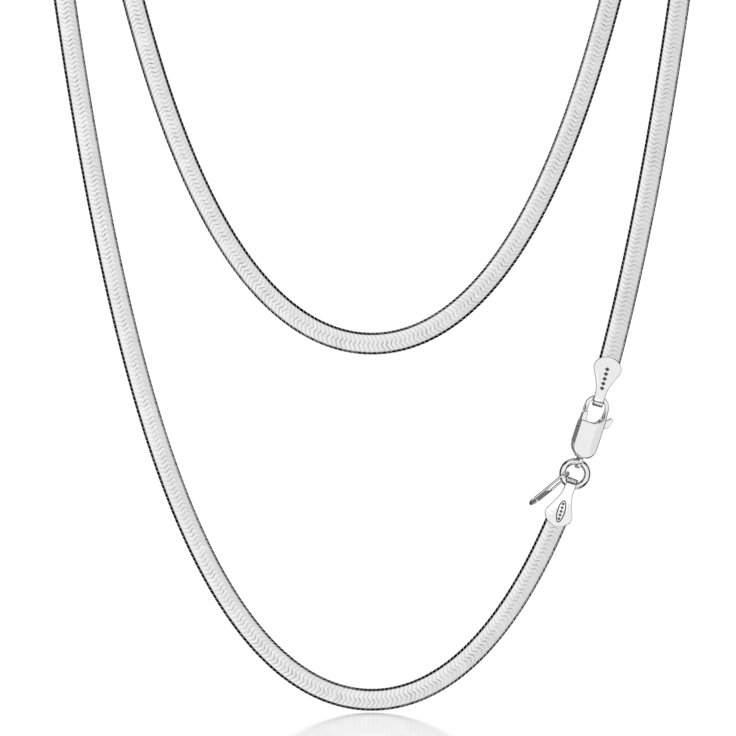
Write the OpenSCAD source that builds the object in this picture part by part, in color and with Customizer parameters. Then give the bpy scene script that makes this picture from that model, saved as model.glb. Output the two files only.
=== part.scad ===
// Herringbone chain: a flat silver band closed with a lobster clasp, hung over a round rod.
// The front of the loop hangs low at -Y and its back hangs higher at +Y. Millimetres, +Z up.
// The origin is in the middle of the rod's top, level with the undersides of the band's two folds.

/* [Band] */
// Width of the flat herringbone band
band_w = 3.5; // [3:0.1:4.5]
// Thickness of the band at its middle
band_t = 1.0; // [0.8:0.05:1.3]
// Size of the rounding along the band's four long edges
band_round = 0.3; // [0.15:0.05:0.35]

/* [Drape] */
// Bend radius of each swag at its lowest point
swag_r = 18.1; // [16:0.1:22]
// Drop of the front swag below the shoulder line
front_drop = 108.8; // [95:0.5:120]
// Drop of the back swag below the shoulder line
back_drop = 53.5; // [45:0.5:60]
// Radius of the rod that the band folds over
rod_r = 6; // [4:0.25:12]
// Height of the rod's centre above the shoulder line
rod_up = 5.8; // [3:0.1:12]

/* [Jump ring] */
// Distance of the ring's centre from the lowest point, measured along the front swag
ring_along = 50; // [40:0.5:60]
// Outer diameter of the jump ring
ring_d = 4.9; // [4.6:0.1:6]
// Diameter of the ring's wire
ring_wire = 1.05; // [0.9:0.05:1.15]

/* [End caps] */
// Distance from the loop's axis to the round edge on the band
cap_len = 6.85; // [6.2:0.05:8]
// How far the cap's head reaches past each edge of the band
cap_rim = 0.45; // [0.3:0.05:0.8]
// Wall of the cap in front of and behind the band
cap_wall = 0.26; // [0.2:0.02:0.4]
// Width of the neck and of the loop at its end
neck_w = 1.7; // [1.4:0.05:2]
// Wall of the loop
loop_wall = 0.25; // [0.2:0.01:0.35]
// How far the band reaches into the cap
band_in = 2.6; // [1.8:0.1:3.2]

/* [Clasp] */
// Length of the clasp from its round end to the top of the claw
clasp_len = 10.2; // [9.5:0.1:12]
// Width of the clasp
clasp_w = 3.9; // [3.7:0.05:4.6]
// Thickness of the clasp's casing
clasp_t = 2.4; // [2.2:0.05:3]
// Thickness of the casing at its round end
tail_t = 2.1; // [1.6:0.05:2.2]
// Thickness of the claw at its top
claw_t = 1.0; // [0.8:0.05:1.2]
// Width of the bar at the top of the claw
bar_w = 0.65; // [0.5:0.05:0.8]
// Width of the claw's two arms
arm_w = 0.55; // [0.45:0.05:0.7]
// Height of the casing below the hook's opening
case_h = 5.8; // [5.4:0.1:6]
// Turn of the clasp about its own length
clasp_turn = 16; // [0:1:18]
// Width of the eye at the clasp's tail
eye_w = 0.6; // [0.45:0.05:0.8]
// Wall of the eye
eye_wall = 0.33; // [0.25:0.01:0.45]

/* [Lever] */
// Height of the lever's pivot above the casing's round end
pivot_h = 4.6; // [4.3:0.1:4.8]
// Diameter of the pivot pin
pin_d = 0.7; // [0.5:0.05:0.8]
// Radius of the lever's hub round the pin
hub_r = 0.8; // [0.75:0.05:0.9]
// Thickness of the lever
lever_t = 1.2; // [1:0.05:1.4]
// Distance from the pivot to the tip of the gate
gate_r = 3.05; // [2.9:0.05:3.2]
// Width of the gate
gate_w = 0.7; // [0.6:0.05:0.8]
// How far the thumb trigger stands out of the casing
trigger_out = 1.15; // [0.8:0.05:1.5]
// Height of the trigger's tip above the pivot
trigger_h = 2.75; // [2.5:0.05:3]

/* [Tag] */
// Length of the tag
tag_len = 8; // [6.4:0.1:8.4]
// Width of the tag
tag_w = 2.6; // [2.4:0.1:3]
// Thickness of the tag
tag_t = 0.3; // [0.25:0.05:0.45]
// Length of the tag's slot
slot_len = 4.1; // [2.8:0.1:4.3]
// Width of the tag's slot
slot_w = 1.8; // [1.4:0.05:1.9]
// Border of the tag round the upper end of its slot
tag_rim = 0.5; // [0.35:0.05:0.6]

/* [Clearances] */
// Gap between a piece and the one that it hangs on or moves in
play = 0.08; // [0.05:0.01:0.1]
// Gap between the band and the walls of a cap
seat_gap = 0.04; // [0.02:0.01:0.1]
// Gap round the pivot pin in the lever
pin_gap = 0.03; // [0.02:0.01:0.06]

/* [Hidden] */
$fn = 48;
over = 1;

// Curve of a hanging chain, by the distance along it from its lowest point
function asinh(u) = ln(u + sqrt(u * u + 1));
function acosh(u) = ln(u + sqrt(u * u - 1));
function sinh(u) = (exp(u) - exp(-u)) / 2;
function hang_x(s) = swag_r * asinh(s / swag_r);
function hang_z(s) = sqrt(swag_r * swag_r + s * s) - swag_r;
function unit(v) = v / norm(v);

// Half lengths of the two swags up to the shoulder line, and where they hang
front_s = swag_r * sinh(acosh(1 + front_drop / swag_r));
back_s = swag_r * sinh(acosh(1 + back_drop / swag_r));
hang_y = rod_r + band_t / 2;
rod_z = -rod_r;
shoulder_z = rod_z - rod_up;
front_z = shoulder_z - front_drop;
back_z = shoulder_z - back_drop;

// A ring of the route is [place, direction towards the inside of the loop, direction of the band's face]
swag_step = 0.1;
function swag_ring(s, y, z0) =
    let(l = unit([swag_r, s]))
    [[hang_x(s), y, z0 + hang_z(s)], [-l[1], 0, l[0]], [0, sign(y), 0]];
function swag(s0, s1, y, z0) =
    let(u0 = asinh(s0 / swag_r), u1 = asinh(s1 / swag_r), n = ceil(abs(u1 - u0) / swag_step))
    [for (i = [0:n]) swag_ring(swag_r * sinh(u0 + (u1 - u0) * i / n), y, z0)];

// Fold over the rod, laid out flat first: how far out it lies by the share of its length
fold_len = 2 * rod_up + PI * hang_y;
fold_steps = 24;
fold_x0 = hang_x(front_s);
fold_x1 = hang_x(back_s);
fold_m0 = fold_len * swag_r / front_s;
fold_m1 = -fold_len * swag_r / back_s;
function fold_x(t) =
    (1 + 2 * t) * pow(1 - t, 2) * fold_x0 + t * pow(1 - t, 2) * fold_m0
    + t * t * (3 - 2 * t) * fold_x1 - t * t * (1 - t) * fold_m1;
function fold_slope(t) =
    (6 * t * (1 - t) * (fold_x1 - fold_x0) + (1 - t) * (1 - 3 * t) * fold_m0 - t * (2 - 3 * t) * fold_m1)
    / fold_len;

// The same fold wrapped round the rod from front to back: straight, half a turn, straight
function fold_ring(t, side) =
    let(
        along = t * fold_len, turn = min(180, max(0, (along - rod_up) / (PI * hang_y) * 180)),
        up = min(0, along - rod_up) + min(0, fold_len - rod_up - along),
        face = [0, -cos(turn), sin(turn)], onward = [0, sin(turn), cos(turn)],
        in = unit([-1, 0, 0] + fold_slope(t) * onward))
    [[side * fold_x(t), 0, rod_z + up] + hang_y * face, [side * in[0], in[1], in[2]], face];
function fold(side) =
    [for (i = [1:fold_steps - 1]) fold_ring(side > 0 ? i / fold_steps : 1 - i / fold_steps, side)];

// Loop at the tip of a cap: wide enough for the claw's bar and for the jump ring
ring_r = (ring_d - ring_wire) / 2;
claw_r = clasp_w / 2;
hook_r = claw_r - arm_w;
hook_top = clasp_len - bar_w;
bar_wide = (neck_w + claw_t * sin(clasp_turn)) / 2 / cos(clasp_turn);
bar_deep = claw_t / 2 * cos(clasp_turn) + bar_wide * sin(clasp_turn);
bar_low = hook_top - hook_r + sqrt(hook_r * hook_r - bar_wide * bar_wide);
bar_half = (clasp_len - bar_low) / 2;
ring_in = sqrt(pow(ring_r - ring_wire / 2, 2) - neck_w * neck_w / 4);
ring_half = (ring_r + ring_wire / 2 - ring_in) / 2;
loop_r = max(norm([bar_half, bar_deep]), ring_half) + play;
loop_out = loop_r + loop_wall;

// Places along the front swag
case_gap = 0.15;
case_up = ring_r + ring_wire / 2 + case_gap;
upper_s = ring_along + case_up + (clasp_len + bar_low) / 2;
lower_s = ring_along - (ring_in + loop_r - 2 * play);
band_s0 = upper_s + cap_len - band_in;
band_s1 = lower_s - cap_len + band_in;

// Puts children on the front swag, pointing from one distance along it to another
module on_swag(from, to) {
    step = [hang_x(to) - hang_x(from), hang_z(to) - hang_z(from)];
    translate([hang_x(from), -hang_y, front_z + hang_z(from)])
        rotate([0, atan2(step[0], step[1]), 0])
            children();
}

// Turns a flat outline into a solid of a given thickness, facing front or seen from the side
module facing(t) { rotate([90, 0, 0]) linear_extrude(height = t, center = true) children(); }
module sideways(t) { rotate([90, 0, 90]) linear_extrude(height = t, center = true) children(); }

// Band: one solid swept along the whole route, with rounded long edges
band_route = concat(
    swag(band_s0, front_s, -hang_y, front_z), fold(1), swag(back_s, -back_s, hang_y, back_z),
    fold(-1), swag(-front_s, band_s1, -hang_y, front_z));
hw = band_w / 2;
ht = band_t / 2;
band_section = [
    [-hw, band_round - ht], [-hw, ht - band_round], [band_round - hw, ht], [hw - band_round, ht],
    [hw, ht - band_round], [hw, band_round - ht], [hw - band_round, -ht], [band_round - hw, -ht]];
module chain() {
    n = len(band_route);
    k = len(band_section);
    points = [for (r = band_route) for (q = band_section) r[0] + q[0] * r[1] + q[1] * r[2]];
    sides = [for (i = [0:n - 2]) for (j = [0:k - 1])
        let(a = i * k + j, b = i * k + (j + 1) % k) each [[a, b, b + k], [a, b + k, a + k]]];
    ends = [[for (j = [k - 1:-1:0]) j], [for (j = [0:k - 1]) (n - 1) * k + j]];
    color("silver") polyhedron(points = points, faces = concat(sides, ends), convexity = 12);
}

// Cap: round head over the band, tapering neck, and a loop at its tip round the local X axis
head_r = band_w / 2 + cap_rim;
head_z = cap_len - head_r;
head_t = band_t + 2 * (seat_gap + cap_wall);
full_z = head_z - head_r / 3;
neck_z = loop_out * 0.6;
module cap_outline() {
    down = [neck_w / 2, neck_z - head_z];
    turn = atan2(-down[1], down[0]) - acos(head_r / norm(down));
    edge = [head_r * cos(turn), head_z - head_r * sin(turn)];
    translate([0, head_z]) circle(head_r);
    polygon([
        [-neck_w / 2, -loop_out], [neck_w / 2, -loop_out], [neck_w / 2, neck_z], edge,
        [0, head_z], [-edge[0], edge[1]], [-neck_w / 2, neck_z]]);
}
module cap_side() {
    circle(loop_out);
    polygon([
        [-loop_out, 0], [loop_out, 0], [head_t / 2, full_z],
        [head_t / 2, cap_len + over], [-head_t / 2, cap_len + over], [-head_t / 2, full_z]]);
}
module end_cap() {
    color("silver") difference() {
        intersection() {
            facing(4 * loop_out) cap_outline();
            sideways(4 * head_r) cap_side();
        }
        rotate([0, 90, 0]) cylinder(r = loop_r, h = neck_w + over, center = true);
        slot = [band_w + 4 * seat_gap, band_t + 2 * seat_gap, band_in + seat_gap + over];
        translate([-slot[0] / 2, -slot[1] / 2, cap_len - band_in - seat_gap]) cube(slot);
    }
}
module end_cap_upper() { on_swag(upper_s, upper_s + cap_len) end_cap(); }
module end_cap_lower() { on_swag(lower_s, lower_s - cap_len) end_cap(); }

// Frame of the clasp: from the ring up to the claw, turned about its own length
module on_clasp() {
    on_swag(ring_along, upper_s) rotate([0, 0, clasp_turn]) translate([0, 0, case_up]) children();
}

// Clasp body: casing with a round end, the claw over it, and the eye at its tail
eye_r = ring_wire / 2 + 4 * play;
eye_z = ring_r - case_up + 2 * play;
eye_root = 0.8;
mouth_w = gate_w + 0.6;
lever_gap = lever_t + 2 * play;
slot_low = pivot_h - hub_r - 0.2;
slot_top = case_h + 1.05;
claw_low = bar_low - 2 * play;
module stadium(low, high, r) {
    translate([0, low + r]) circle(r);
    translate([0, high - r]) circle(r);
    translate([-r, low + r]) square([2 * r, high - low - 2 * r]);
}
module clasp_outline() {
    difference() {
        stadium(0, clasp_len, claw_r);
        stadium(case_h, hook_top, hook_r);
        intersection() {
            translate([0, pivot_h]) circle(gate_r + play);
            translate([-clasp_w, case_h]) square([clasp_w - claw_r + mouth_w, clasp_w]);
        }
    }
}
module clasp_side() {
    polygon([
        [-tail_t / 2, 0], [tail_t / 2, 0], [clasp_t / 2, claw_r * 0.6], [clasp_t / 2, case_h],
        [claw_t / 2, claw_low], [claw_t / 2, clasp_len + over], [-claw_t / 2, clasp_len + over],
        [-claw_t / 2, claw_low], [-clasp_t / 2, case_h], [-clasp_t / 2, claw_r * 0.6]]);
}
module eye_disc(r, h) { translate([0, 0, eye_z]) rotate([0, 90, 0]) cylinder(r = r, h = h, center = true); }
module clasp_body() {
    on_clasp() color("silver") difference() {
        union() {
            intersection() {
                facing(2 * clasp_t) clasp_outline();
                sideways(2 * clasp_w) clasp_side();
            }
            eye_disc(eye_r + eye_wall, eye_w);
            translate([-eye_w / 2, -tail_t / 2, eye_z]) cube([eye_w, tail_t, eye_root - eye_z]);
        }
        eye_disc(eye_r, clasp_w);
        translate([-clasp_w, -lever_gap / 2, slot_low]) cube([2 * clasp_w, lever_gap, slot_top - slot_low]);
        on_pivot(pin_d + pin_gap, 2 * clasp_t);
    }
}

// Lever: hub on the pin, gate up to the hook's tip, trigger out through the spine
gate_left = 0.05 - claw_r;
gate_right = gate_left + gate_w;
gate_foot = case_h - pivot_h + 0.2;
tip_x = claw_r + trigger_out;
function on_hub(turn) = hub_r * [cos(turn), sin(turn)];
// Outline of the trigger past the hub, in shares of its reach and of its height
trigger = [
    [0.65, 0.26], [0.86, 0.4], [0.97, 0.62], [1, 0.83], [0.96, 0.95], [0.89, 1],
    [0.76, 0.86], [0.63, 0.75], [0.39, 0.51]];
module lever_outline() {
    circle(hub_r);
    intersection() {
        circle(gate_r);
        polygon([
            [0, 0], on_hub(242), [gate_left, hub_r * 0.2], [gate_left, gate_r], [gate_right, gate_r],
            [gate_right + 0.15, gate_foot], on_hub(112)]);
    }
    polygon(concat([[0, 0], on_hub(298)], [for (q = trigger) [q[0] * tip_x, q[1] * trigger_h]], [on_hub(75)]));
}
module on_pivot(d, h) { translate([0, 0, pivot_h]) rotate([90, 0, 0]) cylinder(d = d, h = h, center = true); }
module clasp_lever() {
    on_clasp() color("silver") difference() {
        translate([0, 0, pivot_h]) facing(lever_t) lever_outline();
        on_pivot(pin_d + 2 * pin_gap, lever_t + over);
    }
}
module clasp_pin() { on_clasp() color("silver") on_pivot(pin_d, clasp_t); }

// Jump ring: round wire, through the clasp's eye, the lower cap's loop and the tag's slot
module jump_ring() {
    on_swag(ring_along, upper_s)
        color("silver") rotate([90, 0, 0]) rotate_extrude() translate([ring_r, 0]) circle(d = ring_wire);
}

// Tag: flat plate with a slot at its upper end, hanging out to the left of the lower cap
tag_at = 197;
tag_dip = 40;
tag_turn = -17;
module tag() {
    skew = tag_dip + 180 - tag_at;
    top = (ring_wire / 2 + 2 * play) / cos(skew) + tag_t / 2 * tan(skew);
    color("silver") translate([hang_x(ring_along), -hang_y, front_z + hang_z(ring_along)])
        translate(ring_r * [cos(tag_at), 0, sin(tag_at)])
            rotate([0, 90 - tag_dip, 0]) rotate([0, 0, tag_turn]) sideways(tag_t) difference() {
                stadium(top + tag_rim - tag_len, top + tag_rim, tag_w / 2);
                stadium(top - slot_len, top, slot_w / 2);
            }
}

chain();
end_cap_upper();
end_cap_lower();
clasp_body();
clasp_lever();
clasp_pin();
jump_ring();
tag();
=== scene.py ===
import math

import bpy
import numpy as np
from mathutils import Matrix, Vector


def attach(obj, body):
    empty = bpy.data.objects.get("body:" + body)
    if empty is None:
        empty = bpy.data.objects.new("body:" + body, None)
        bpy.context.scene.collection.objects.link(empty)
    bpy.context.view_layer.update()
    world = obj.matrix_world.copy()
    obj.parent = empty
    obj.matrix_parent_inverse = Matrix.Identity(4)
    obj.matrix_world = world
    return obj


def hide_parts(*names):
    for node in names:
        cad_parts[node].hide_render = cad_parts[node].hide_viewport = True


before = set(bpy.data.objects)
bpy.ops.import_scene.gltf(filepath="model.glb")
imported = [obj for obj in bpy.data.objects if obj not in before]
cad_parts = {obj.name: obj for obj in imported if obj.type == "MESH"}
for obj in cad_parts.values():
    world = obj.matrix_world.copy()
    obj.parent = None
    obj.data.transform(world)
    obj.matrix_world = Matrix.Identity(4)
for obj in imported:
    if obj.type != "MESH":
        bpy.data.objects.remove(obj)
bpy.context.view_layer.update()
MM = 0.001

# Camera. The necklace was photographed straight on from far away, so both swags keep the
# same scale. The frame takes in 114.5 mm and cuts off the two folds at the top.
view_span = 0.1145
view_centre = Vector((-0.0006, 0.0, -0.0691))
camera_distance = 3.0
camera_data = bpy.data.cameras.new("camera")
camera_data.sensor_width = 36
camera_data.lens = camera_data.sensor_width * camera_distance / view_span
camera_data.clip_end = 20
camera = bpy.data.objects.new("camera", camera_data)
bpy.context.scene.collection.objects.link(camera)
camera.location = view_centre - Vector((0, camera_distance, 0))
camera.rotation_euler = (math.radians(90), 0, 0)
bpy.context.scene.camera = camera

# Studio. White paper all round for the camera. The polished metal sees soft cards in front, at
# the sides, behind, above and below, the white paper far behind, and between them a dark room,
# which draws the thin dark outlines.
scene = bpy.context.scene
scene.view_settings.view_transform = "Standard"
world = bpy.data.worlds.new("studio")
scene.world = world
world.use_nodes = True
nodes, links = world.node_tree.nodes, world.node_tree.links
nodes.clear()
output = nodes.new("ShaderNodeOutputWorld")
mix = nodes.new("ShaderNodeMixShader")
paper = nodes.new("ShaderNodeBackground")
paper.inputs["Color"].default_value = (1, 1, 1, 1)
paper.inputs["Strength"].default_value = 1.05
room = nodes.new("ShaderNodeBackground")
rays = nodes.new("ShaderNodeLightPath")
place = nodes.new("ShaderNodeTexCoord")
split = nodes.new("ShaderNodeSeparateXYZ")
links.new(place.outputs["Generated"], split.inputs[0])
depth = nodes.new("ShaderNodeMapRange")
depth.inputs["From Min"].default_value = -1
depth.inputs["From Max"].default_value = 1
links.new(split.outputs["Y"], depth.inputs["Value"])
ramp = nodes.new("ShaderNodeValToRGB")
ramp.color_ramp.interpolation = "EASE"
# The room's brightness, from behind the camera at 0 to behind the chain at 1.
shades = [(0.0, 0.04), (0.5, 0.04), (0.87, 0.03), (0.93, 0.2), (0.975, 1.15)]
while len(ramp.color_ramp.elements) < len(shades):
    ramp.color_ramp.elements.new(0.5)
for element, (at, tone) in zip(ramp.color_ramp.elements, shades):
    element.position = at
    element.color = (tone, tone, tone, 1)
links.new(depth.outputs["Result"], ramp.inputs["Fac"])
links.new(ramp.outputs["Color"], room.inputs["Color"])
links.new(rays.outputs["Is Camera Ray"], mix.inputs["Fac"])
links.new(room.outputs[0], mix.inputs[1])
links.new(paper.outputs[0], mix.inputs[2])
links.new(mix.outputs[0], output.inputs["Surface"])

# Floor. A white board close under the lower swag, with a faint mirror image of it.
floor_z = -0.12245
bpy.ops.object.select_all(action="DESELECT")
bpy.ops.mesh.primitive_plane_add(size=2.4, location=(0, 0.2, floor_z))
floor = bpy.context.object
floor.name = "floor"
floor.visible_glossy = False
floor.visible_shadow = False
floor_paint = bpy.data.materials.new("white_board")
floor_paint.use_nodes = True
nodes, links = floor_paint.node_tree.nodes, floor_paint.node_tree.links
nodes.clear()
gloss = nodes.new("ShaderNodeBsdfGlossy")
gloss.inputs["Roughness"].default_value = 0.05
white = nodes.new("ShaderNodeEmission")
white.inputs["Strength"].default_value = 1.3
sheen = nodes.new("ShaderNodeMixShader")
grazing = nodes.new("ShaderNodeFresnel")
grazing.inputs["IOR"].default_value = 1.1
share = nodes.new("ShaderNodeMath")
share.operation = "MULTIPLY"
share.inputs[1].default_value = 0.72
links.new(grazing.outputs[0], share.inputs[0])
links.new(share.outputs[0], sheen.inputs["Fac"])
output = nodes.new("ShaderNodeOutputMaterial")
links.new(white.outputs[0], sheen.inputs[1])
links.new(gloss.outputs[0], sheen.inputs[2])
links.new(sheen.outputs[0], output.inputs["Surface"])
floor.data.materials.append(floor_paint)


def card(name, place, width, height, tone, aim=(0, 0, -0.07)):
    """A soft light: a rectangle of even brightness that faces a point, mostly the chain."""
    lamp = bpy.data.lights.new(name, "AREA")
    lamp.shape = "RECTANGLE"
    lamp.size, lamp.size_y = width, height
    lamp.energy = tone * math.pi * width * height
    holder = bpy.data.objects.new(name, lamp)
    bpy.context.scene.collection.objects.link(holder)
    holder.location = place
    holder.rotation_euler = (Vector(aim) - Vector(place)).to_track_quat("-Z", "Y").to_euler()


card("front_left_card", (-0.265, -1.5, -0.275), 0.47, 2.05, 1.1, (-0.265, 0, -0.275))
card("front_right_card", (0.155, -1.5, -0.275), 0.37, 2.05, 0.86, (0.155, 0, -0.275))
card("near_right_card", (0.449, -1.431, -0.1), 0.241, 1.6, 0.86)
card("right_card", (0.70, -1.303, -0.1), 0.318, 1.6, 0.86)
card("far_right_card", (0.964, -1.132, -0.1), 0.318, 1.6, 0.74)
card("side_card", (1.258, -0.78, -0.1), 0.618, 1.6, 0.64)
card("rear_right_card", (1.06, 1.06, -0.1), 0.3, 1.6, 0.8)
card("rear_left_card", (-1.06, 1.06, -0.1), 0.3, 1.6, 0.8)
card("left_card", (-0.88, -1.19, -0.1), 0.765, 1.6, 0.75)
card("top_card", (0, -0.36, 1.3), 1.6, 1.3, 0.6)
card("low_front_card", (0, -0.6, -1.1), 1.4, 0.35, 0.7)
card("low_light", (0, -0.1, -1.0), 0.6, 0.5, 0.9)

# Silver. All pieces are polished sterling silver: hairline scratches, faint cloudy patches
# where the polish is softer, and a very light bump. The group is placed in each material.
wear = bpy.data.node_groups.new("polish_wear", "ShaderNodeTree")
wear_inputs = [("Scratch Scale", 0, 9000, 2500), ("Cloud Scale", 0, 900, 180), ("Amount", 0, 1, 0.5)]
for name, low, high, value in wear_inputs:
    socket = wear.interface.new_socket(name, in_out="INPUT", socket_type="NodeSocketFloat")
    socket.min_value, socket.max_value, socket.default_value = low, high, value
wear.interface.new_socket("Vector", in_out="INPUT", socket_type="NodeSocketVector")
for name in ("Scratches", "Clouds"):
    wear.interface.new_socket(name, in_out="OUTPUT", socket_type="NodeSocketFloat")
nodes, links = wear.nodes, wear.links
group_in, group_out = nodes.new("NodeGroupInput"), nodes.new("NodeGroupOutput")
stretch = nodes.new("ShaderNodeMapping")
stretch.inputs["Rotation"].default_value = (0.3, 0.5, 0.7)
stretch.inputs["Scale"].default_value = (1, 0.06, 0.3)
links.new(group_in.outputs["Vector"], stretch.inputs["Vector"])
lines = nodes.new("ShaderNodeTexNoise")
lines.inputs["Detail"].default_value = 4
links.new(stretch.outputs[0], lines.inputs["Vector"])
links.new(group_in.outputs["Scratch Scale"], lines.inputs["Scale"])
scratch = nodes.new("ShaderNodeMapRange")
scratch.inputs["From Min"].default_value = 0.35
scratch.inputs["From Max"].default_value = 0.7
links.new(lines.outputs["Fac"], scratch.inputs["Value"])
scaled = nodes.new("ShaderNodeMath")
scaled.operation = "MULTIPLY"
links.new(scratch.outputs[0], scaled.inputs[0])
links.new(group_in.outputs["Amount"], scaled.inputs[1])
cloud = nodes.new("ShaderNodeTexNoise")
cloud.inputs["Detail"].default_value = 3
links.new(group_in.outputs["Vector"], cloud.inputs["Vector"])
links.new(group_in.outputs["Cloud Scale"], cloud.inputs["Scale"])
links.new(scaled.outputs[0], group_out.inputs["Scratches"])
links.new(cloud.outputs["Fac"], group_out.inputs["Clouds"])


def silver(name, tone, smooth, cloudy, scratches, bump, painted_shade=None):
    """Polished silver with its own tone and roughness range; the named attribute paints shade into the
    colour, towards near black.
    """
    made = bpy.data.materials.new(name)
    made.use_nodes = True
    nodes, links = made.node_tree.nodes, made.node_tree.links
    shader = nodes["Principled BSDF"]
    shader.inputs["Metallic"].default_value = 1
    where = nodes.new("ShaderNodeTexCoord")
    worn = nodes.new("ShaderNodeGroup")
    worn.node_tree = wear
    worn.inputs["Amount"].default_value = scratches
    worn.inputs["Scratch Scale"].default_value = 2500
    worn.inputs["Cloud Scale"].default_value = 180
    links.new(where.outputs["Object"], worn.inputs["Vector"])
    rough = nodes.new("ShaderNodeMapRange")
    rough.inputs["From Min"].default_value = 0.3
    rough.inputs["From Max"].default_value = 0.7
    rough.inputs["To Min"].default_value = smooth
    rough.inputs["To Max"].default_value = cloudy
    links.new(worn.outputs["Clouds"], rough.inputs["Value"])
    links.new(rough.outputs[0], shader.inputs["Roughness"])
    colour = nodes.new("ShaderNodeMix")
    colour.data_type = "RGBA"
    colour.inputs["A"].default_value = (*tone, 1)
    colour.inputs["B"].default_value = (*(0.9 * t for t in tone), 1)
    links.new(worn.outputs["Clouds"], colour.inputs["Factor"])
    result = colour.outputs["Result"]
    # Painted shade: the stored attribute mixes the colour towards near black.
    if painted_shade:
        depth = nodes.new("ShaderNodeAttribute")
        depth.attribute_name = painted_shade
        dark = nodes.new("ShaderNodeMix")
        dark.data_type = "RGBA"
        dark.inputs["B"].default_value = (0.014, 0.014, 0.0145, 1)
        links.new(depth.outputs["Fac"], dark.inputs["Factor"])
        links.new(result, dark.inputs["A"])
        result = dark.outputs["Result"]
    links.new(result, shader.inputs["Base Color"])
    relief = nodes.new("ShaderNodeBump")
    relief.inputs["Strength"].default_value = bump
    relief.inputs["Distance"].default_value = 0.00001
    links.new(worn.outputs["Scratches"], relief.inputs["Height"])
    links.new(relief.outputs[0], shader.inputs["Normal"])
    return made


# Herringbone band. Hundreds of flat silver links bent to an S lie on each other like scales
# and make one flat, supple band. One link is shaped, repeated, and laid along the loop.
band_w, band_t, link_pitch = 3.5, 1.0, 0.7146
swag_r, front_drop, back_drop, rod_r, rod_up = 18.1, 108.8, 53.5, 6.0, 5.8
band_s0, band_s1 = 66.5004, 43.7765
hang_y = rod_r + band_t / 2
rod_z = -rod_r
front_z = rod_z - rod_up - front_drop
back_z = rod_z - rod_up - back_drop
front_s = math.sqrt((front_drop + swag_r) ** 2 - swag_r**2)
back_s = math.sqrt((back_drop + swag_r) ** 2 - swag_r**2)
route_step = 0.1


def swag_points(s0, s1, y, z0):
    """A stretch of hanging chain: places, directions towards the inside of the loop, and faces."""
    s = np.linspace(s0, s1, int(abs(s1 - s0) / route_step) + 2)
    length = np.hypot(swag_r, s)
    zero = np.zeros_like(s)
    at = np.stack([swag_r * np.arcsinh(s / swag_r), zero + y, z0 + length - swag_r], 1)
    inside = np.stack([-s / length, zero, swag_r / length], 1)
    face = np.stack([zero, zero + math.copysign(1, y), zero], 1)
    return at, inside, face


# The slopes at both ends of a fold are those of the swags it joins.
fold_len = 2 * rod_up + math.pi * hang_y
fold_x0 = swag_r * math.asinh(front_s / swag_r)
fold_x1 = swag_r * math.asinh(back_s / swag_r)
fold_m0 = fold_len * swag_r / front_s
fold_m1 = -fold_len * swag_r / back_s


def fold_points(side):
    """The band's turn over the top, from front to back, or from back to front on the left."""
    t = np.linspace(0, 1, int(fold_len / route_step) + 2)
    x = ((1 + 2 * t) * (1 - t) ** 2 * fold_x0 + t * (1 - t) ** 2 * fold_m0
         + t**2 * (3 - 2 * t) * fold_x1 - t**2 * (1 - t) * fold_m1)
    slope = (6 * t * (1 - t) * (fold_x1 - fold_x0) + (1 - t) * (1 - 3 * t) * fold_m0
             - t * (2 - 3 * t) * fold_m1) / fold_len
    along = t * fold_len
    turn = np.radians(np.clip((along - rod_up) / (math.pi * hang_y) * 180, 0, 180))
    up = np.minimum(0, along - rod_up) + np.minimum(0, fold_len - rod_up - along)
    zero = np.zeros_like(t)
    face = np.stack([zero, -np.cos(turn), np.sin(turn)], 1)
    onward = np.stack([zero, np.sin(turn), np.cos(turn)], 1)
    inside = np.array([-1, 0, 0]) + slope[:, None] * onward
    inside /= np.linalg.norm(inside, axis=1)[:, None]
    at = np.stack([x, zero, rod_z + up], 1) + hang_y * face
    at[:, 0] *= side
    inside[:, 0] *= side
    order = slice(1, -1) if side > 0 else slice(-2, 0, -1)
    return at[order], inside[order], face[order]


stretches = [
    swag_points(band_s0, front_s, -hang_y, front_z),
    fold_points(1),
    swag_points(back_s, -back_s, hang_y, back_z),
    fold_points(-1),
    swag_points(-front_s, band_s1, -hang_y, front_z),
]
route_at, route_inside, route_face = (np.concatenate([s[k] for s in stretches]) for k in range(3))
route_s = np.concatenate([[0], np.cumsum(np.linalg.norm(np.diff(route_at, axis=0), axis=1))])
band_length = route_s[-1]


def along_route(values, s):
    """The route's places, or its directions, at distances along it."""
    return np.stack([np.interp(s, route_s, values[:, k]) for k in range(3)], 1)


# One link, flat, its length along X and its width along Y: eight sides, cut into ten pieces
# across. Stations run from its middle to its end, and the other half is the same turned round.
link_ends = 0.6
link_count = int((band_length - 2 * link_ends) / link_pitch)
link_pitch = (band_length - 2 * link_ends) / link_count
stations = [0, 0.36, 1.25, 1.37, 1.60, 1.738]
wave = [0, -0.20, 0.33, 0.39, 0.46, 0.50]
half_thick = [0.5, 0.5, 0.5, 0.48, 0.40, 0.25]
crown = [(-0.485, 0.965), (-0.27, 0.993), (0.27, 1.0), (0.485, 0.975)]
bpy.ops.object.select_all(action="DESELECT")
bpy.ops.mesh.primitive_cylinder_add(vertices=8, radius=0.5, depth=2, end_fill_type="NGON",
                                    rotation=(math.radians(90), 0, 0))
link = bpy.context.object
link.name = "herringbone_links"
bpy.ops.object.transform_apply(location=False, rotation=True, scale=False)
bpy.ops.object.mode_set(mode="EDIT")
bpy.ops.mesh.select_mode(type="EDGE")
bpy.ops.mesh.select_all(action="DESELECT")
bpy.ops.object.mode_set(mode="OBJECT")
for e in link.data.edges:
    a, b = (link.data.vertices[v].co for v in e.vertices)
    e.select = abs(a.y - b.y) > 1
bpy.ops.object.mode_set(mode="EDIT")
bpy.ops.mesh.subdivide(number_cuts=len(stations) * 2 - 3)
bpy.ops.mesh.select_mode(type="VERT")
bpy.ops.object.mode_set(mode="OBJECT")
section = [(x * link_pitch, t) for x, t in crown] + [(-x * link_pitch, -t) for x, t in crown]
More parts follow.
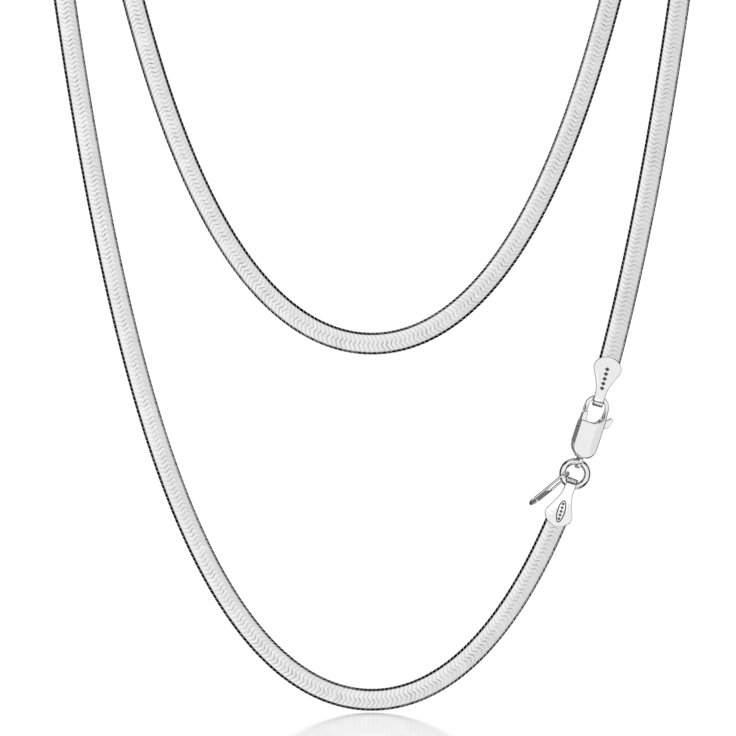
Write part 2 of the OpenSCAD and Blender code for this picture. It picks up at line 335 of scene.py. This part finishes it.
# Painted shade, stored at each corner and station of the link: dark in the grooves between the links,
# most in the band's middle, and near black at the rounded ends of the link.
groove_tone = [1.0, 0.0, 0.0, 0.7] * 2
groove_shade = [0.8, 0.35, 0.16, 0.16, 0.2, 0.2]
edge_tone = [0, 0, 0, 0.9, 1.0, 1.0]
tooth, tooth_from = 0.05, 4
painted_shade = link.data.attributes.new("painted_shade", "FLOAT", "POINT")
middle = len(stations) - 1
for v, g in zip(link.data.vertices, painted_shade.data):
    station = round((v.co.y + 1) * middle) - middle
    corner = (3 - round(math.degrees(math.atan2(v.co.z, v.co.x)) / 45)) % 8
    x, t = section[corner]
    side, k = math.copysign(1, station), abs(station)
    g.value = max(groove_tone[corner] * groove_shade[k], edge_tone[k])
    bite = tooth * (0.5 - side * x / link_pitch) if k >= tooth_from else 0
    v.co = (x + side * wave[k], side * (stations[k] - bite), t * half_thick[k])
link_size = len(link.data.vertices)

# The row of links, laid along the route, each a little out of true.
row = link.modifiers.new("row", "ARRAY")
row.count = link_count
row.use_relative_offset = False
row.use_constant_offset = True
row.constant_offset_displace = (link_pitch, 0, 0)
bpy.ops.object.modifier_apply(modifier="row")
flat = np.empty(len(link.data.vertices) * 3)
link.data.vertices.foreach_get("co", flat)
flat = flat.reshape(-1, 3)
which = np.arange(len(flat)) // link_size
rng = np.random.default_rng(7)
lean_spread, roll_spread, sink, skin = 0.5, 0.35, 0.01, 0.497 * band_t
lean = np.radians(rng.normal(0, lean_spread, link_count))[which]
roll = np.radians(rng.normal(0, roll_spread, link_count))[which]
s = flat[:, 0] + link_ends + link_pitch / 2
up = np.sign(flat[:, 2])
thick = flat[:, 2] + up * (lean * (flat[:, 0] - which * link_pitch) + roll * flat[:, 1] - sink)
thick = np.clip(thick, -skin, skin)
laid = (along_route(route_at, s) + flat[:, 1:2] * along_route(route_inside, s)
        + thick[:, None] * along_route(route_face, s))
laid[:, 2] = np.minimum(laid[:, 2], rod_z + hang_y + skin)
link.data.vertices.foreach_set("co", (laid * MM).ravel())

# Painted shade. On a bend the grooves open at the outer edge and close up at the inner one, so
# more shade is painted in them there and less at the inner one. The rounded ends of the links
# darken partly by their shape and the lights and partly by painted shade, of which there is less
# on the side of the band that the light comes from.
edge_from, tip_from, groove_from = 1.3, 1.5, 0.7
shaded_share, edge_share, tip_share, edge_dark = 0.15, 0.55, 0.35, 1.1
opened, closed, bead_spread, groove_spread = 1.2, -0.75, 0.12, 0.35
tones = np.empty(len(flat))
link.data.attributes["painted_shade"].data.foreach_get("value", tones)
inside, face = along_route(route_inside, s), along_route(route_face, s)
bend = inside[:, 2] ** 2
across = np.clip(flat[:, 1] / groove_from, -1, 1)
on_edge = np.abs(flat[:, 1]) > edge_from
# Painted light: the ends on the side of the band that the light comes from get less painted shade.
lit = np.clip(2 * np.sign(flat[:, 1]) * inside[:, 0] * -face[:, 1], -1, 1)
lit *= np.where(lit < 0, shaded_share, np.where(np.abs(flat[:, 1]) < tip_from, edge_share, tip_share))
bead = rng.normal(1, bead_spread, link_count)[which]
uneven = rng.normal(1, groove_spread, (link_count, 2))[which, (flat[:, 1] > 0).astype(int)]
spread = (1 + bend * np.where(across < 0, opened, closed) * np.abs(across)) * uneven
tones *= np.where(on_edge, (edge_dark - lit) * bead, spread)
link.data.attributes["painted_shade"].data.foreach_set("value", np.clip(tones, 0, 1))
bpy.ops.object.shade_smooth_by_angle(angle=math.radians(50))
even = link.modifiers.new("even", "WEIGHTED_NORMAL")
even.keep_sharp = True
bpy.ops.object.modifier_apply(modifier="even")
link.data.materials.append(silver("silver_links", (0.83, 0.83, 0.83), 0.12, 0.18, 0.5, 0.3, "painted_shade"))
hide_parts("chain")
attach(link, "necklace")

# End caps. Each is a flat silver end piece, domed round at the band and drawn in to a narrow
# neck whose end is curled into a loop. The band is pushed in between its walls and soldered.
fittings = silver("silver_fittings", (0.98, 0.98, 0.98), 0.06, 0.1, 0.4, 0.2)
stamped = silver("silver_stamped", (0.1, 0.1, 0.1), 0.3, 0.4, 0.3, 0.3)
ring_along, upper_s, lower_s = 50.0, 62.2504, 48.0265
cap_len, loop_wall, loop_r, band_in = 6.85, 0.25, 1.021, 2.6
cap_wall, seat_gap = 0.26, 0.04
loop_out = loop_r + loop_wall
cap_half = band_t / 2 + seat_gap + cap_wall
full_z = 3.92


def on_swag(s0, s1):
    """The place of a piece that points from one distance along the front swag to another."""
    x0, x1 = (swag_r * math.asinh(s / swag_r) for s in (s0, s1))
    z0, z1 = (math.hypot(swag_r, s) - swag_r for s in (s0, s1))
    return (Matrix.Translation((x0, -hang_y, front_z + z0))
            @ Matrix.Rotation(math.atan2(x1 - x0, z1 - z0), 4, "Y"))


def smooth_line(points, parts):
    """A soft curve through points, with so many parts between each two."""
    p = np.array([points[0], *points, points[-1]], float)
    t = (np.arange(parts) / parts)[:, None]
    curve = [0.5 * (2 * b + (c - a) * t + (2 * a - 5 * b + 4 * c - d) * t**2
                    + (3 * b - a - 3 * c + d) * t**3)
             for a, b, c, d in zip(p, p[1:], p[2:], p[3:])]
    return [tuple(q) for q in np.concatenate([*curve, p[-1:]])]


def plate(name, outline, half):
    """A flat outline in X and Z, in millimetres, made solid to both sides of Y = 0."""
    bpy.ops.object.select_all(action="DESELECT")
    bpy.ops.mesh.primitive_circle_add(vertices=len(outline), fill_type="NGON")
    made = bpy.context.object
    made.name = name
    for v, (x, z) in zip(made.data.vertices, outline):
        v.co = (x, -half, z)
    bpy.ops.object.mode_set(mode="EDIT")
    bpy.ops.mesh.select_all(action="SELECT")
    bpy.ops.mesh.extrude_region_move(TRANSFORM_OT_translate={"value": (0, 2 * half, 0)})
    bpy.ops.mesh.select_all(action="SELECT")
    bpy.ops.mesh.normals_make_consistent(inside=False)
    bpy.ops.object.mode_set(mode="OBJECT")
    return made


def rod(radius, length, place, axis, sides=48):
    """A round bar along X, Y or Z, for a hole or a boss."""
    bpy.ops.object.select_all(action="DESELECT")
    turn = {"X": (0, math.pi / 2, 0), "Y": (math.pi / 2, 0, 0), "Z": (0, 0, 0)}[axis]
    bpy.ops.mesh.primitive_cylinder_add(vertices=sides, radius=radius, depth=length,
                                        location=place, rotation=turn)
    bpy.ops.object.transform_apply(location=True, rotation=True, scale=True)
    return bpy.context.object


def block(low, high):
    """A box between two corners."""
    bpy.ops.object.select_all(action="DESELECT")
    bpy.ops.mesh.primitive_cube_add(size=1, location=[(a + b) / 2 for a, b in zip(low, high)])
    bpy.context.object.scale = [b - a for a, b in zip(low, high)]
    bpy.ops.object.transform_apply(location=True, rotation=True, scale=True)
    return bpy.context.object


def joined(piece, tool, how):
    """Cuts a tool out of a piece, or adds it, and removes the tool."""
    step = piece.modifiers.new(how, "BOOLEAN")
    step.operation, step.solver, step.object = how, "EXACT", tool
    step.material_mode = "TRANSFER"
    bpy.context.view_layer.objects.active = piece
    bpy.ops.object.modifier_apply(modifier=step.name)
    bpy.data.objects.remove(tool)


def rounded(piece, width, segments, above=35):
    """Rounds the edges that turn by more than so many degrees."""
    step = piece.modifiers.new("round", "BEVEL")
    step.width, step.segments, step.limit_method = width, segments, "ANGLE"
    step.angle_limit = math.radians(above)
    step.use_clamp_overlap = False
    bpy.context.view_layer.objects.active = piece
    bpy.ops.object.modifier_apply(modifier=step.name)


def sliced(piece, places, axis=(0, 0, 1)):
    """Cuts a piece's faces across along an axis, so that it can follow a profile there."""
    bpy.ops.object.select_all(action="DESELECT")
    piece.select_set(True)
    bpy.context.view_layer.objects.active = piece
    bpy.ops.object.mode_set(mode="EDIT")
    for at in places:
        bpy.ops.mesh.select_all(action="SELECT")
        bpy.ops.mesh.bisect(plane_co=at * Vector(axis), plane_no=axis)
    bpy.ops.object.mode_set(mode="OBJECT")


def fitted(piece, place, material, nodes, body, sharp=30):
    """Puts a piece where it belongs, with its finish, its body and the solids it stands for."""
    piece.data.transform(Matrix.Scale(MM, 4) @ place)
    bpy.ops.object.select_all(action="DESELECT")
    piece.select_set(True)
    bpy.context.view_layer.objects.active = piece
    bpy.ops.object.shade_smooth_by_angle(angle=math.radians(sharp))
    even = piece.modifiers.new("even", "WEIGHTED_NORMAL")
    even.keep_sharp = True
    bpy.ops.object.modifier_apply(modifier="even")
    for k, finish in enumerate(piece.data.materials):
        piece.data.materials[k] = finish or material
    if not piece.data.materials:
        piece.data.materials.append(material)
    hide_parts(*nodes)
    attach(piece, body)


cap_side = smooth_line([
    (0.85, -1.271), (0.85, -0.6), (0.85, 0.3), (0.87, 0.9), (0.93, 1.4), (1.05, 1.9),
    (1.22, 2.4), (1.45, 2.95), (1.69, 3.5), (1.92, 4.0), (2.1, 4.4), (2.19, 4.75),
    (2.2, 5.05), (2.12, 5.4), (1.94, 5.72), (1.76, 5.95)], 3)
arc_half, arc_low, arc_top = 1.76, 5.95, 6.72
arc_r = (arc_half**2 + (arc_top - arc_low) ** 2) / 2 / (arc_top - arc_low)
arc = [(x, arc_top - arc_r + math.sqrt(arc_r**2 - x * x))
       for x in np.linspace(arc_half, -arc_half, 25)[1:-1]]
cap_outline = cap_side + arc + [(-x, z) for x, z in reversed(cap_side)]


def cap_depth(z):
    """Half the cap's thickness: round at the curl, then a wedge that runs out softly at the head."""
    if z < 0:
        return math.sqrt(max(0.0004, loop_out**2 - z * z))
    left = (loop_out - cap_half) * (1 - z / full_z)
    return cap_half + (left + math.hypot(left, 0.05)) / 2


def end_cap(name):
    """One cap: cut from plate, thinned to its wedge, bored for the loop and hollowed for the band."""
    cap = plate(name, cap_outline, loop_out)
    rounded(cap, 0.2, 4, 50)
    curl = [-loop_out * math.cos(math.radians(a)) for a in (8, 16, 24, 33, 42, 51, 60, 70, 80, 90)]
    sliced(cap, curl + [1.0, 2.0, 2.6, 3.0, 3.3, 3.6, 3.9, 4.2, 4.6, 5.2])
    for v in cap.data.vertices:
        v.co.y *= cap_depth(v.co.z) / loop_out
    joined(cap, rod(loop_r, 4, (0, 0, 0), "X", 64), "DIFFERENCE")
    wide, thick = band_w / 2 + 2 * seat_gap, band_t / 2 + seat_gap
    pocket = block((-wide, -thick, cap_len - band_in - seat_gap), (wide, thick, cap_len + 1))
    joined(cap, pocket, "DIFFERENCE")
    cap.data.materials.append(fittings)
    return cap


upper_cap = end_cap("upper_cap")
stamp_depth, cutter_half = 0.06, 0.25
stamp_out = cutter_half - stamp_depth
stamp_low, stamp_pitch, stamp_w, stamp_h, nearby = 1.7, 0.76, 0.4, 0.33, 0.1
for k in range(5):
    z = stamp_low + stamp_pitch * k
    diamond = [(0, -stamp_h), (stamp_w, 0), (0, stamp_h), (-stamp_w, 0)]
    lozenge = plate("lozenge", diamond, cutter_half)
    slope = math.atan((cap_depth(z + nearby) - cap_depth(z - nearby)) / (2 * nearby))
    lozenge.data.transform(Matrix.Translation((0, -cap_depth(z) - stamp_out, z))
                           @ Matrix.Rotation(slope, 4, "X"))
    lozenge.data.materials.append(stamped)
    joined(upper_cap, lozenge, "DIFFERENCE")
fitted(upper_cap, on_swag(upper_s, upper_s + cap_len), fittings, ["end_cap_upper"], "necklace")

lower_cap = end_cap("lower_cap")


def oval(half_width, half_length, centre=0.0, steps=40):
    """A flat cutter for the mark: an ellipse on the cap's face, as deep as the lozenges."""
    turns = [2 * math.pi * k / steps for k in range(steps)]
    rim = [(half_width * math.cos(t), centre + half_length * math.sin(t)) for t in turns]
    made = plate("oval", rim, cutter_half)
    made.data.materials.append(stamped)
    return made


mark_x, mark_z, mark_turn, mark_line = -0.15, 4.23, -5.6, 0.2
mark_w, mark_h, mark_reach, dot_r, dot_pitch = 0.66, 1.8, 0.8, 0.22, 0.6
mark = oval(mark_w, mark_h)
joined(mark, oval(mark_w - mark_line, mark_h - mark_line), "DIFFERENCE")
slope = math.atan((cap_depth(mark_z + mark_reach) - cap_depth(mark_z - mark_reach)) / (2 * mark_reach))
mark_place = (Matrix.Translation((mark_x, -cap_depth(mark_z) - stamp_out, mark_z))
              @ Matrix.Rotation(slope, 4, "X") @ Matrix.Rotation(math.radians(mark_turn), 4, "Y"))
for cutter in [mark] + [oval(dot_r, dot_r, dot_pitch * k, 16) for k in (-2, -1, 0, 1, 2)]:
    cutter.data.transform(mark_place)
    joined(lower_cap, cutter, "DIFFERENCE")
fitted(lower_cap, on_swag(lower_s, lower_s - cap_len), fittings, ["end_cap_lower"], "necklace")

# Jump ring. Round silver wire bent to a ring and soldered shut; the seam sits under the
# clasp's eye. The eye, the lower cap's loop and the tag hang on it.
ring_r, ring_wire = 1.925, 1.05
bpy.ops.object.select_all(action="DESELECT")
bpy.ops.mesh.primitive_torus_add(major_segments=96, minor_segments=24, major_radius=ring_r,
                                 minor_radius=ring_wire / 2, rotation=(math.pi / 2, 0, 0))
bpy.ops.object.transform_apply(location=True, rotation=True, scale=True)
wire_ring = bpy.context.object
wire_ring.name = "wire_ring"
fitted(wire_ring, on_swag(ring_along, upper_s), fittings, ["jump_ring"], "necklace", 60)

# Clasp. A cast lobster clasp: a flat casing with well rounded edges, its round end carrying
# the eye, and the claw that curves over the opening. The lever sits in a slot inside it.
clasp_len, clasp_w, clasp_t, tail_t, claw_t = 10.2, 3.9, 2.4, 2.1, 1.0
bar_w, arm_w, case_h, clasp_turn, case_up = 0.65, 0.55, 5.8, 16, 2.6
claw_low, pivot_h, gate_r, hub_r, play = 8.94, 4.6, 3.05, 0.8, 0.08
lever_t, pin_d, pin_gap = 1.2, 0.7, 0.03
eye_r, eye_wall, eye_w, eye_z, eye_root, root_half = 0.845, 0.33, 0.6, -0.515, 0.8, 0.8
tail_end, crown_in, eye_room, pin_play = 1.6, 0.06, 0.05, 0.002
claw_r = clasp_w / 2
hook_r = claw_r - arm_w
hook_top = clasp_len - bar_w


def stadium(low, high, r, steps=24):
    """A long outline with two round ends."""
    turns = [math.pi * k / steps for k in range(steps + 1)]
    return ([(-r * math.cos(t), low + r - r * math.sin(t)) for t in turns]
            + [(r * math.cos(t), high - r + r * math.sin(t)) for t in turns])


def clasp_half(z):
    """Half the clasp's thickness at a height: full at the casing, thinner at tail and claw."""
    if z < tail_end:
        return clasp_t / 2 - (clasp_t - tail_t) / 2 * (1 - max(0, z) / tail_end) ** 2
    share = min(1, max(0, (z - case_h) / (claw_low - case_h)))
    return clasp_t / 2 - (clasp_t - claw_t) / 2 * share**2 * (3 - 2 * share)


on_clasp = (on_swag(ring_along, upper_s) @ Matrix.Rotation(math.radians(clasp_turn), 4, "Z")
            @ Matrix.Translation((0, 0, case_up)))
opening = stadium(case_h, hook_top, hook_r)[::-1]
tip = [(x, pivot_h + math.sqrt((gate_r + play) ** 2 - x * x))
       for x in (-claw_r, -(claw_r + hook_r) / 2, -hook_r)]
claw = stadium(0, clasp_len, claw_r) + tip + opening[:38] + [(-claw_r, case_h)]
casing = plate("clasp_casing", claw, clasp_t / 2)
rounded(casing, 0.2, 4, 40)
sliced(casing, [0.1, 0.25, 0.42, 0.62, 0.85, 1.1, 1.35, 1.6, 2.2, 3.4, 4.6, 5.3, 5.8,
                6.2, 6.6, 7.0, 7.4, 7.8, 8.2, 8.6, 8.94, 9.3])
sliced(casing, [-1.5, -1.1, -0.7, -0.35, 0, 0.35, 0.7, 1.1, 1.5], (1, 0, 0))
for v in casing.data.vertices:
    v.co.y *= (clasp_half(v.co.z) - crown_in * (v.co.x / claw_r) ** 2) / (clasp_t / 2)
joined(casing, rod(eye_r + eye_room, clasp_w, (0, 0, eye_z), "X"), "DIFFERENCE")
eye_out = eye_r + eye_wall
eye_top = math.acos(root_half / eye_out)
eye_turns = np.linspace(eye_top, -math.pi - eye_top, 41)
eye_rim = [(eye_out * math.cos(t), eye_z + eye_out * math.sin(t)) for t in eye_turns]
eye = plate("eye", [(root_half, eye_root), *eye_rim, (-root_half, eye_root)], eye_w / 2)
rounded(eye, 0.08, 3, 50)
eye.data.transform(Matrix.Rotation(math.pi / 2, 4, "Z"))
joined(eye, rod(eye_r, clasp_w, (0, 0, eye_z), "X", 64), "DIFFERENCE")
joined(casing, eye, "UNION")
lever_gap = lever_t + 2 * play
slot_low, slot_top = pivot_h - hub_r - 0.2, case_h + 1.05
# On the left the casing's wall is closed up to the foot of the gate.
wall_in, mouth_x, mouth_in, mouth_out = -0.95, -2.25, pivot_h - 0.5, pivot_h + 0.2
slot_outline = [(mouth_x, mouth_out), (wall_in, mouth_in), (wall_in, slot_low), (clasp_w, slot_low),
                (clasp_w, slot_top), (mouth_x, slot_top)]
joined(casing, plate("slot", slot_outline, lever_gap / 2), "DIFFERENCE")
joined(casing, rod(pin_d / 2 + pin_play, 2 * clasp_t, (0, 0, pivot_h), "Y"), "DIFFERENCE")
fitted(casing, on_clasp, fittings, ["clasp_body"], "necklace")

# Lever. Cast in one piece: a hub on the pivot pin, the gate that closes the claw's mouth, and
# the thumb trigger that stands out through the casing's spine.


def on_hub(a0, a1, steps):
    """Points on the hub's rim, from one angle to another."""
    return [(hub_r * math.cos(math.radians(a)), hub_r * math.sin(math.radians(a)))
            for a in np.linspace(a0, a1, steps)]


trigger = smooth_line([
    on_hub(298, 298, 1)[0], (2.015, 0.715), (2.666, 1.1), (3.007, 1.705), (3.1, 2.28),
    (2.976, 2.61), (2.76, 2.75), (2.356, 2.365), (1.953, 2.06), (1.209, 1.4),
    on_hub(75, 75, 1)[0]], 3)
gate_left, gate_right, gate_foot, gate_flare = -1.9, -1.2, 1.4, 0.15
gate = [(gate_right + gate_flare, gate_foot)]
gate += [(x, math.sqrt(gate_r**2 - x * x)) for x in np.linspace(gate_right, gate_left, 6)]
gate += [(gate_left, hub_r * 0.2)]
lever_outline = trigger + on_hub(85, 112, 4) + gate + on_hub(242, 290, 6)
lever = plate("lever", lever_outline, lever_t / 2)
rounded(lever, 0.12, 3, 40)
joined(lever, rod(pin_d / 2 + pin_gap, 2 * lever_t, (0, 0, 0), "Y"), "DIFFERENCE")
on_pivot = on_clasp @ Matrix.Translation((0, 0, pivot_h))
fitted(lever, on_pivot, fittings, ["clasp_lever"], "lever")

# Tag. A flat silver tag with a slot, stamped out of sheet, that swings on the jump ring.
tag_len, tag_w, tag_t, slot_len, slot_w, tag_rim = 8.0, 2.6, 0.3, 4.1, 1.8, 0.5
tag_at, tag_dip, tag_turn, tag_bend, bend_len = 197, 40, -17, 0.12, 4
skew = math.radians(tag_dip + 180 - tag_at)
tag_top = (ring_wire / 2 + 2 * play) / math.cos(skew) + tag_t / 2 * math.tan(skew)
tag_low = tag_top + tag_rim - tag_len
tag = plate("plain_tag", stadium(tag_low, tag_low + tag_len, tag_w / 2), tag_t / 2)
joined(tag, plate("tag_slot", stadium(tag_top - slot_len, tag_top, slot_w / 2), tag_t), "DIFFERENCE")
rounded(tag, 0.07, 3, 50)
sliced(tag, [tag_low + k for k in (0.3, 0.6, 0.9, 1.2, 1.5, 1.9, 2.3, 2.8, 3.3, 3.8)])
for v in tag.data.vertices:
    v.co.y += tag_bend * (max(0, tag_low + bend_len - v.co.z) / bend_len) ** 2
tag_spot = math.radians(tag_at)
tag_place = (Matrix.Translation(on_swag(ring_along, upper_s).to_translation())
             @ Matrix.Translation((ring_r * math.cos(tag_spot), 0, ring_r * math.sin(tag_spot)))
             @ Matrix.Rotation(math.radians(90 - tag_dip), 4, "Y")
             @ Matrix.Rotation(math.radians(tag_turn), 4, "Z")
             @ Matrix.Rotation(math.radians(90), 4, "Z"))
fitted(tag, tag_place, fittings, ["tag"], "necklace")

# Pivot pin. A short piece of silver wire, riveted through the casing's two walls, on which the
# lever turns. It is plain and round, so the CAD piece stays and only takes the finish.
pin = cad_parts["clasp_pin"]
pin.data.materials.clear()
pin.data.materials.append(fittings)
